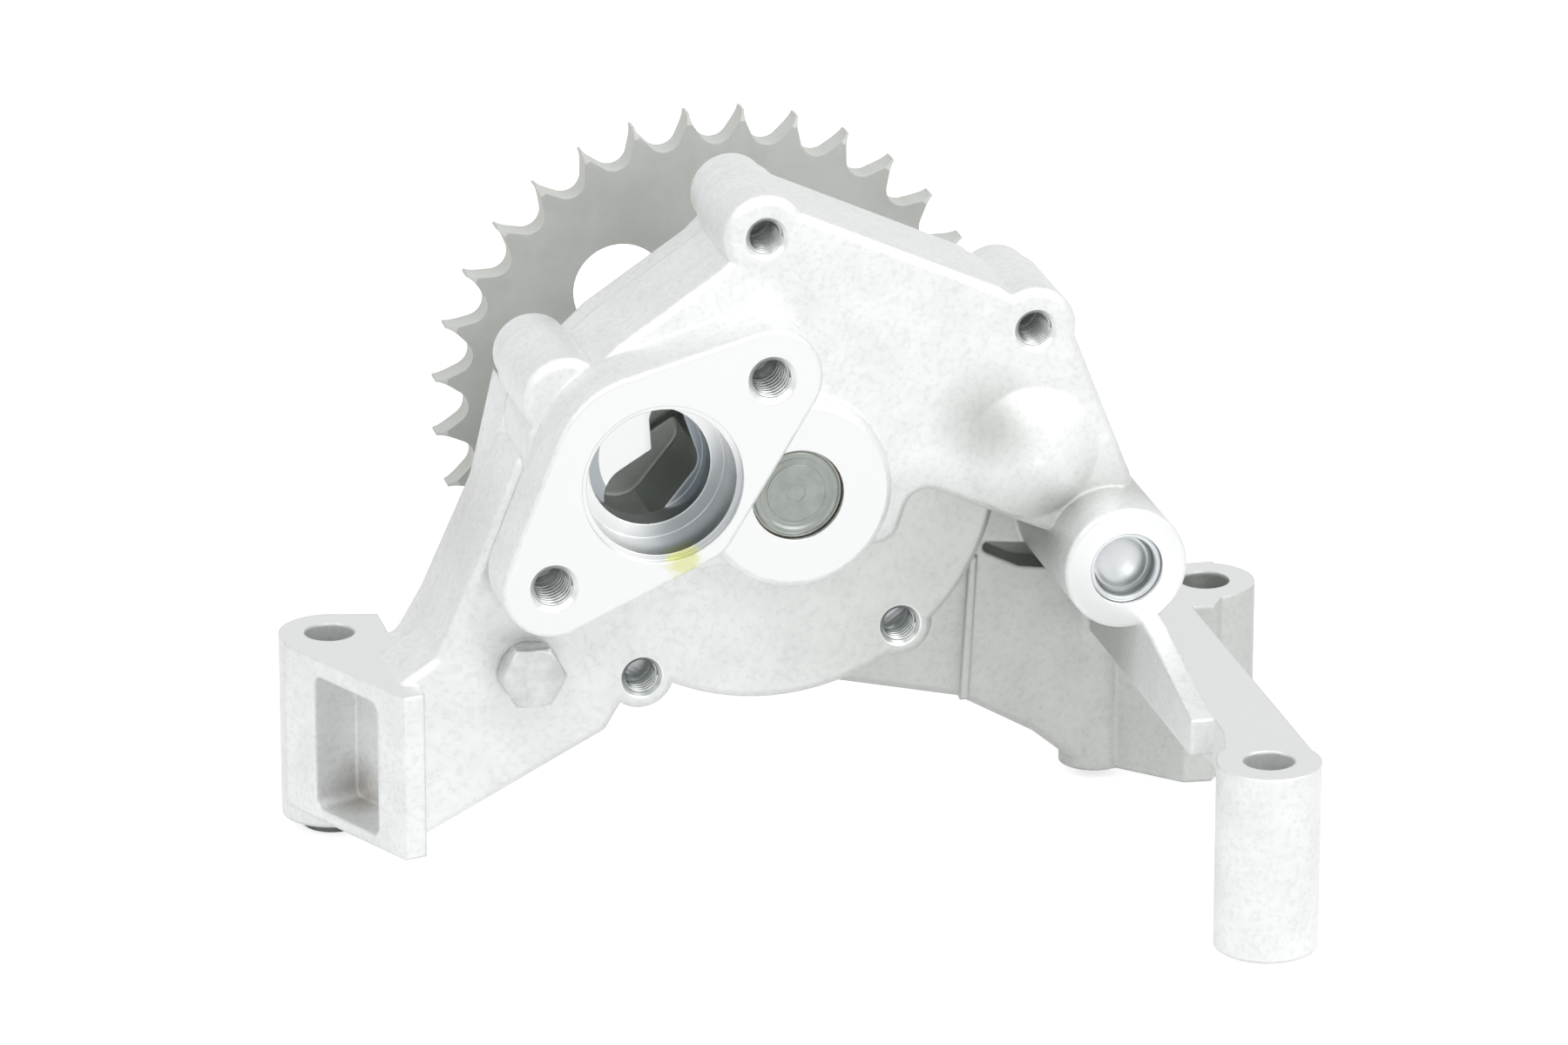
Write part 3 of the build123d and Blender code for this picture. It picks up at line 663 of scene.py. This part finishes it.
def make_floor(settings):
    """The floor just under the sleeves, which glows white in the picture."""
    floor = start_piece(
        "primitive_grid_add", x_subdivisions=4, y_subdivisions=4, size=8.0,
        location=(0, 0, cad_box[0].z - 0.05 * MM),
    )
    floor.name = "studio_floor"
    material, tree, shader, _ = start_material("studio_floor")
    shader.inputs["Base Color"].default_value = linear(settings.floor)
    shader.inputs["Roughness"].default_value = 0.9
    seen = node(tree, "ShaderNodeLightPath")
    mirrored = node(
        tree, "ShaderNodeMath", {0: seen.outputs["Is Glossy Ray"], 1: settings.glow_mirrored},
        operation="MULTIPLY",
    )
    strength = node(
        tree, "ShaderNodeMath",
        {0: seen_directly(tree, seen), 1: settings.glow, 2: mirrored.outputs[0]},
        operation="MULTIPLY_ADD",
    )
    glow = node(
        tree, "ShaderNodeEmission",
        {"Color": (1, 1, 1, 1), "Strength": strength.outputs[0]},
    )
    total = node(tree, "ShaderNodeAddShader", {0: shader.outputs[0], 1: glow.outputs[0]})
    output = [made for made in tree.nodes if made.type == "OUTPUT_MATERIAL"][0]
    tree.links.new(total.outputs[0], output.inputs["Surface"])
    floor.data.materials.append(material)


def make_room(scene, settings):
    """The room: white where it is seen directly, dimmer in a reflection and as a light."""
    world = bpy.data.worlds.new("studio_room")
    scene.world = world
    world.use_nodes = True
    tree = world.node_tree
    tree.nodes.clear()
    seen = node(tree, "ShaderNodeLightPath")
    lit = node(
        tree, "ShaderNodeMapRange",
        {"Value": seen.outputs["Is Glossy Ray"], "To Min": settings.room,
         "To Max": settings.room_mirrored},
    )
    strength = node(
        tree, "ShaderNodeMapRange",
        {"Value": seen_directly(tree, seen), "To Min": lit.outputs["Result"], "To Max": 1.0},
    )
    room = node(
        tree, "ShaderNodeBackground",
        {"Color": (1, 1, 1, 1), "Strength": strength.outputs["Result"]},
    )
    output = node(tree, "ShaderNodeOutputWorld")
    tree.links.new(room.outputs[0], output.inputs["Surface"])


def make_lamps(scene, settings):
    """A wide soft key lamp from the upper right and a weak fill lamp from the left."""
    # Name, power, then size and distance in metres, and the two angles in degrees
    for name, power, size, away, turn, rise in (
        ("key_lamp", settings.key, 1.2, 1.2, 34, 45),
        ("fill_lamp", settings.fill, 1.0, 1.2, -60, 48),
    ):
        lamp = bpy.data.objects.new(name, bpy.data.lights.new(name, "AREA"))
        scene.collection.objects.link(lamp)
        lamp.data.shape = "DISK"
        lamp.data.size = size
        lamp.data.energy = power
        look_from(lamp, math.radians(turn), math.radians(rise), away)


class OilPumpCasting(bpy.types.PropertyGroup):
    """Colours of the casting"""

    skin: bpy.props.StringProperty(
        name="Skin", description="sRGB hex colour of the cast skin", default="#F3F4F4"
    )
    shade: bpy.props.StringProperty(
        name="Mottling", description="sRGB hex colour of the darker patches", default="#ECEEED"
    )
    # This colour is painted shade on the skin behind the body's front
    recess_shade: bpy.props.StringProperty(
        name="Recess", description="sRGB hex colour of the skin behind the front", default="#CDCFCC"
    )
    machined: bpy.props.StringProperty(
        name="Machined", description="sRGB hex colour of the machined faces", default="#F0F1F1"
    )
    # This colour is painted shade on the port's bore
    port_shade: bpy.props.StringProperty(
        name="Oil film", description="sRGB hex colour of the bore under a film of oil",
        default="#9CA3A8",
    )
    # This colour is painted shade deep in the passages and holes
    hole_shade: bpy.props.StringProperty(
        name="Oiled", description="sRGB hex colour deep in the passages", default="#C2C7C3"
    )


class OilPumpSprocket(bpy.types.PropertyGroup):
    """Colours of the sprocket"""

    face: bpy.props.StringProperty(
        name="Face", description="sRGB hex colour of the flat faces", default="#D6D8D4"
    )
    shade: bpy.props.StringProperty(
        name="Shade", description="sRGB hex colour of the darker patches", default="#CDCFCB"
    )
    teeth: bpy.props.StringProperty(
        name="Teeth", description="sRGB hex colour of the tooth slopes", default="#DEE0DC"
    )


class OilPumpThreads(bpy.types.PropertyGroup):
    """Sizes of the thread turns"""

    pitch: bpy.props.FloatProperty(
        name="Pitch", description="Pitch of the thread turns", default=1.25 * MM,
        min=0.5 * MM, max=3 * MM, unit="LENGTH",
    )
    ridge: bpy.props.FloatProperty(
        name="Ridge", description="How far each turn stands into the hole", default=0.32 * MM,
        min=0.1 * MM, max=1 * MM, unit="LENGTH",
    )


class OilPumpPlugs(bpy.types.PropertyGroup):
    """Sizes of the two plugs"""

    rim: bpy.props.FloatProperty(
        name="Rim", description="Rounding of the cup plug's rim", default=0.35 * MM,
        min=0.1 * MM, max=0.5 * MM, unit="LENGTH",
    )
    crown: bpy.props.FloatProperty(
        name="Crown", description="Height of the crowned floor of the cup plug", default=0.8 * MM,
        min=0.0, max=1 * MM, unit="LENGTH",
    )
    chamfer: bpy.props.FloatProperty(
        name="Chamfer", description="How far inside the hexagon's flats the chamfer starts",
        default=0.2 * MM, min=0.0, max=1 * MM, unit="LENGTH",
    )


class OilPumpStudio(bpy.types.PropertyGroup):
    """Camera, lamps, room and floor"""

    azimuth: bpy.props.FloatProperty(
        name="Azimuth", description="Camera angle round the pump", default=math.radians(-14),
        subtype="ANGLE",
    )
    elevation: bpy.props.FloatProperty(
        name="Elevation", description="Camera angle above the floor", default=math.radians(20),
        subtype="ANGLE",
    )
    view_width: bpy.props.FloatProperty(
        name="View width", description="Width of the view at the pump", default=0.2727,
        unit="LENGTH",
    )
    lens: bpy.props.FloatProperty(
        name="Lens", description="Focal length in millimetres", default=200.0
    )
    key: bpy.props.FloatProperty(
        name="Key lamp", description="Power of the key lamp in watts", default=6.7
    )
    fill: bpy.props.FloatProperty(
        name="Fill lamp", description="Power of the fill lamp in watts", default=2.4
    )
    room: bpy.props.FloatProperty(
        name="Room light", description="Strength of the even light of the room", default=0.45
    )
    room_mirrored: bpy.props.FloatProperty(
        name="Mirrored room", description="Strength of the room in the metal", default=0.85
    )
    glow: bpy.props.FloatProperty(
        name="Glow", description="Glow that turns the floor white in the picture", default=0.62
    )
    glow_mirrored: bpy.props.FloatProperty(
        name="Mirrored glow", description="Glow of the floor in the metal", default=0.3
    )
    floor: bpy.props.StringProperty(
        name="Floor", description="sRGB hex colour of the floor", default="#F2F2F2"
    )


class OILPUMP_OT_casting(bpy.types.Operator):
    """Give the housing and the rear cover their cast and machined surfaces"""

    bl_idname = "oilpump.casting"
    bl_label = "Casting"

    def execute(self, context):
        dress(cast_aluminium(context.scene.oilpump_casting), "pump_housing", "rear_cover")
        return {"FINISHED"}


class OILPUMP_OT_sprocket(bpy.types.Operator):
    """Give the chain sprocket its dull hardened steel"""

    bl_idname = "oilpump.sprocket"
    bl_label = "Sprocket"

    def execute(self, context):
        dress(stamped_steel(context.scene.oilpump_sprocket), "drive_sprocket")
        return {"FINISHED"}


class OILPUMP_OT_turned_parts(bpy.types.Operator):
    """Give the shaft, gears, bushes, screws, sleeves and seals their surfaces"""

    bl_idname = "oilpump.turned_parts"
    bl_label = "Turned parts"

    def execute(self, context):
        # Ground steel: grey and even, with 0.7 mm rings from facing the shaft's end
        ground = turned_metal(
            "ground_shaft_steel", "#A8ADA8", "#9CA19C", roughness=0.36, axis=DRIVE_AXIS,
            spacing=0.7, depth=0.03,
        )
        dress(
            ground, "drive_shaft", "sprocket_key", "drive_gear", "driven_gear", "idler_axle",
            "relief_piston", "cover_dowel_1", "cover_dowel_2",
        )
        # Zinc-plated steel: paler and a little bluish, with a soft shine
        plated = turned_metal(
            "zinc_plated_steel", "#D5D8DA", "#C3C7C9", roughness=0.34, axis=DRIVE_AXIS,
            spacing=0.9, depth=0.02,
        )
        dress(
            plated, "sprocket_washer", "sprocket_bolt", "relief_plug", "gallery_cup_plug",
            *[f"cover_screw_{index}" for index in range(1, 6)],
        )
        # Bearing bronze: warm brown-gold, fine bored
        bronze = turned_metal(
            "bearing_bronze", "#B7925C", "#A17F4F", roughness=0.35, axis=DRIVE_AXIS,
            spacing=0.5, depth=0.02,
        )
        dress(bronze, "front_bush", "rear_bush", "driven_gear_bush")
        # Black-oxide steel: dark grey and dull, as on locating sleeves
        dark = turned_metal(
            "black_oxide_steel", "#7A7C7B", "#666867", roughness=0.5, axis=LEFT_SLEEVE,
            spacing=0.6, depth=0.02,
        )
        dress(dark, "left_sleeve", "right_sleeve")
        # Spring steel: drawn wire, smooth and bluish grey
        wire = turned_metal(
            "spring_steel_wire", "#9AA0A5", "#858B90", roughness=0.3, axis=DRIVE_AXIS,
            spacing=0.5, depth=0.01,
        )
        dress(wire, "relief_spring")
        # Soft aluminium: a pale, dull crush washer under the relief plug
        soft = turned_metal(
            "soft_aluminium", "#DFE1E0", "#D2D4D3", roughness=0.55, axis=DRIVE_AXIS,
            spacing=0.8, depth=0.01,
        )
        dress(soft, "relief_seal_ring")
        return {"FINISHED"}


class OILPUMP_OT_shaft_end(bpy.types.Operator):
    """Model the turned end of the drive shaft, a shallow dish inside a rounded rim"""

    bl_idname = "oilpump.shaft_end"
    bl_label = "Shaft end"

    def execute(self, context):
        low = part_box("drive_shaft")[0]
        radius, sunk = 7.7 * MM, 0.3 * MM
        piece = start_piece(
            "primitive_circle_add", vertices=128, radius=radius, fill_type="NGON",
            location=(DRIVE_AXIS[0] * MM, low.y + sunk, DRIVE_AXIS[1] * MM),
            rotation=(math.radians(90), 0, 0),
        )
        start_edit()
        # Each step goes inward by its first value and forward by its second, in millimetres
        for inward, forward in (
            (0.1, 0.4), (0.15, 0.15), (0.7, 0.05), (0.25, -0.15), (0.25, -0.2), (1.9, -0.06),
            (0.5, 0.03),
        ):
            bpy.ops.mesh.inset(thickness=inward * MM)
            bpy.ops.transform.translate(value=(0, -forward * MM, 0))
        bpy.ops.object.mode_set(mode="OBJECT")
        finish_piece(
            piece, "shaft_end_face", "drive",
            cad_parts["drive_shaft"].data.materials[0], math.radians(50),
        )
        return {"FINISHED"}


class OILPUMP_OT_threads(bpy.types.Operator):
    """Model the thread turns in the tapped holes of the casting"""

    bl_idname = "oilpump.threads"
    bl_label = "Threads"

    def execute(self, context):
        settings = context.scene.oilpump_threads
        # Cut threads in the alloy: bright, with sharp crests
        material = turned_metal(
            "tapped_aluminium", "#DFE1E1", "#CFD2D2", roughness=0.28, axis=DRIVE_AXIS,
            spacing=1.0, depth=0.01,
        )
        # Each row of holes: name, centres, then radius, front and depth of the thread in
        # millimetres, and its pitch
        rows = (
            ("flange_thread", FLANGE_HOLES, 3.4, -45.0, 10.0, settings.pitch),
            ("upper_thread", UPPER_SCREWS, 3.0, -33.1, 8.0, 0.8 * settings.pitch),
            ("lower_thread", LOWER_SCREWS, 3.0, -29.1, 4.5, 0.8 * settings.pitch),
        )
        holes = [
            (f"{name}_{index}", centre, *sizes)
            for name, centres, *sizes in rows
            for index, centre in enumerate(centres, 1)
        ]
        for name, centre, radius, front, depth, pitch in holes:
            turns = int(depth * MM / pitch)
            piece = start_piece(
                "primitive_circle_add", vertices=3, radius=settings.ridge / 1.5,
                location=(centre[0] * MM, front * MM, centre[1] * MM),
            )
            # One crest, pointing at the axis, set against the wall of the hole. It is mirrored
            # if the turn leaves it pointing outward.
            start_edit()
            bpy.ops.transform.rotate(
                value=math.radians(-90), orient_axis="Z", center_override=piece.location
            )
            points = [vertex.co.x for vertex in bmesh.from_edit_mesh(piece.data).verts]
            inward = max(points) < -min(points) - 1e-9
            bpy.ops.transform.resize(
                value=(1 if inward else -1, 1.6, 1), center_override=piece.location
            )
            sunk = 0.02 * MM
            bpy.ops.transform.translate(value=(radius * MM - settings.ridge / 3 + sunk, 0, 0))
            bpy.ops.object.mode_set(mode="OBJECT")
            wind(piece, pitch, turns, sides=3)
            finish_piece(piece, name, "housing", material, math.radians(20))
        return {"FINISHED"}


class OILPUMP_OT_relief_spring(bpy.types.Operator):
    """Model the relief spring as a coil"""

    bl_idname = "oilpump.relief_spring"
    bl_label = "Relief spring"

    def execute(self, context):
        low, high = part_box("relief_spring")
        centre = (low + high) / 2
        wire, turns, sides = 0.42 * MM, 6, 10
        front, back = low.y + wire, high.y - wire
        piece = start_piece(
            "primitive_circle_add", vertices=sides, radius=wire,
            location=(centre.x, back, centre.z),
        )
        start_edit()
        bpy.ops.transform.translate(value=(high.x - wire - centre.x, 0, 0))
        bpy.ops.object.mode_set(mode="OBJECT")
        wind(piece, (front - back) / turns, turns, sides)
        finish_piece(
            piece, "relief_spring_coil", "housing",
            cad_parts["relief_spring"].data.materials[0], math.radians(40),
        )
        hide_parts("relief_spring")
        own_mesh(piece)
        return {"FINISHED"}


class OILPUMP_OT_cup_plug(bpy.types.Operator):
    """Model the pressed cup plug with its rounded rim and crowned floor"""

    bl_idname = "oilpump.cup_plug"
    bl_label = "Cup plug"

    def execute(self, context):
        settings = context.scene.oilpump_plugs
        low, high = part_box("gallery_cup_plug")
        centre = (low + high) / 2
        radius = (high.x - low.x) / 2
        piece = start_piece(
            "primitive_circle_add", vertices=96, radius=radius, fill_type="NGON",
            location=(centre.x, high.y, centre.z), rotation=(math.radians(90), 0, 0),
        )
        wall, depth = 1.0 * MM, high.y - low.y
        start_edit()
        bpy.ops.mesh.extrude_region_move(TRANSFORM_OT_translate={"value": (0, -depth, 0)})
        bpy.ops.mesh.inset(thickness=wall)
        bpy.ops.mesh.extrude_region_move(
            TRANSFORM_OT_translate={"value": (0, depth - 2 * wall, 0)}
        )
        # A quarter round corner, then the crowned floor in rings of equal width round a small
        # flat at its centre
        corner, steps = 0.8 * MM, 5
        for step in range(steps):
            low_turn, high_turn = (math.pi / 2 * (step + more) / steps for more in (0, 1))
            bpy.ops.mesh.inset(thickness=corner * (math.cos(low_turn) - math.cos(high_turn)))
            bpy.ops.transform.translate(
                value=(0, corner * (math.sin(high_turn) - math.sin(low_turn)), 0)
            )
        floor, rings = radius - wall - corner, 9
        for ring in range(rings):
            outer, inner = (1 - (ring + more) / (rings + 0.4) for more in (0, 1))
            bpy.ops.mesh.inset(thickness=floor * (outer - inner))
            bpy.ops.transform.translate(value=(0, -settings.crown * (outer**2 - inner**2), 0))
        bpy.ops.object.mode_set(mode="OBJECT")
        apply_modifier(
            piece, "BEVEL", width=settings.rim, segments=4, limit_method="ANGLE",
            angle_limit=math.radians(50),
        )
        finish_piece(
            piece, "cup_plug_pressing", "housing", pressed_zinc_plate(),
            math.radians(60),
        )
        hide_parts("gallery_cup_plug")
        return {"FINISHED"}


class OILPUMP_OT_relief_plug(bpy.types.Operator):
    """Model the relief valve's hexagon plug with its chamfered corners"""

    bl_idname = "oilpump.relief_plug"
    bl_label = "Relief plug"

    def execute(self, context):
        settings = context.scene.oilpump_plugs
        low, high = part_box("relief_plug")
        centre = (low + high) / 2
        flats, head, flange = 10.5 * MM, 5.0 * MM, 1.0 * MM
        collar_radius, shank_radius = 5.2 * MM, 5.0 * MM
        turned = (math.radians(90), 0, 0)
        # Hexagon, cut to a 30 degree cone at its corners
        piece = start_piece(
            "primitive_cylinder_add", vertices=6, radius=flats / math.sqrt(3), depth=head - flange,
            location=(centre.x, low.y + (head - flange) / 2, centre.z), rotation=turned,
        )
        bpy.ops.object.transform_apply(location=False, rotation=True, scale=False)
        start_edit()
        bpy.ops.transform.rotate(
            value=math.radians(30), orient_axis="Y", center_override=piece.location
        )
        bpy.ops.object.mode_set(mode="OBJECT")
        slope = math.tan(math.radians(30))
        reach = head - flange + 1 * MM
        face_radius = flats / 2 - settings.chamfer
        cutter = start_piece(
            "primitive_cone_add", vertices=96, radius1=face_radius + reach / slope,
            radius2=face_radius, depth=reach,
            location=(centre.x, low.y + reach / 2, centre.z), rotation=turned,
        )
        apply_modifier(piece, "BOOLEAN", operation="INTERSECT", object=cutter, solver="EXACT")
        bpy.data.objects.remove(cutter)
        collar = start_piece(
            "primitive_cylinder_add", vertices=96, radius=collar_radius, depth=flange,
            location=(centre.x, low.y + head - flange / 2, centre.z), rotation=turned,
        )
        shank = start_piece(
            "primitive_cylinder_add", vertices=64, radius=shank_radius,
            depth=high.y - low.y - head,
            location=(centre.x, (high.y + low.y + head) / 2, centre.z), rotation=turned,
        )
        for part in (piece, collar, shank):
            part.select_set(True)
        bpy.context.view_layer.objects.active = piece
        bpy.ops.object.join()
        apply_modifier(
            piece, "BEVEL", width=0.18 * MM, segments=2, limit_method="ANGLE",
            angle_limit=math.radians(35),
        )
        # Zinc-plated and a little worn: paler skin with dull patches
        material = turned_metal(
            "worn_zinc_plate", "#E0E2E1", "#C9CCCA", roughness=0.45,
            axis=(centre.x / MM, centre.z / MM), spacing=1.0, depth=0.03,
        )
        finish_piece(piece, "relief_plug_head", "housing", material)
        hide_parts("relief_plug")
        return {"FINISHED"}


class OILPUMP_OT_studio(bpy.types.Operator):
    """Make the camera, the floor, the room and the lamps"""

    bl_idname = "oilpump.studio"
    bl_label = "Studio"

    def execute(self, context):
        settings = context.scene.oilpump_studio
        make_camera(context.scene, settings)
        make_floor(settings)
        make_room(context.scene, settings)
        make_lamps(context.scene, settings)
        context.scene.view_settings.view_transform = "Standard"
        return {"FINISHED"}


class OILPUMP_PT_panel(bpy.types.Panel):
    """Oil pump pieces and studio"""

    bl_idname = "OILPUMP_PT_panel"
    bl_label = "Oil pump"
    bl_space_type = "VIEW_3D"
    bl_region_type = "UI"
    bl_category = "Oil pump"

    def draw(self, context):
        for operator in OPERATORS:
            self.layout.operator(operator.bl_idname)
        for group in SETTINGS:
            box = self.layout.box()
            for name in SETTINGS[group].__annotations__:
                box.prop(getattr(context.scene, group), name)


SETTINGS = {
    "oilpump_casting": OilPumpCasting,
    "oilpump_sprocket": OilPumpSprocket,
    "oilpump_threads": OilPumpThreads,
    "oilpump_plugs": OilPumpPlugs,
    "oilpump_studio": OilPumpStudio,
}
OPERATORS = (
    OILPUMP_OT_casting,
    OILPUMP_OT_sprocket,
    OILPUMP_OT_turned_parts,
    OILPUMP_OT_shaft_end,
    OILPUMP_OT_threads,
    OILPUMP_OT_cup_plug,
    OILPUMP_OT_relief_plug,
    OILPUMP_OT_relief_spring,
    OILPUMP_OT_studio,
)


def register():
    """Register the settings, the operators and the panel."""
    for name, group in SETTINGS.items():
        bpy.utils.register_class(group)
        setattr(bpy.types.Scene, name, bpy.props.PointerProperty(type=group))
    for made in (*OPERATORS, OILPUMP_PT_panel):
        bpy.utils.register_class(made)


def unregister():
    """Take them out again."""
    for made in (OILPUMP_PT_panel, *reversed(OPERATORS)):
        bpy.utils.unregister_class(made)
    for name, group in SETTINGS.items():
        delattr(bpy.types.Scene, name)
        bpy.utils.unregister_class(group)


def main():
    """Make every piece and the studio."""
    register()
    for operator in OPERATORS:
        group, name = operator.bl_idname.split(".")
        getattr(getattr(bpy.ops, group), name)()
    bpy.context.view_layer.update()


if __name__ == "__main__":
    main()
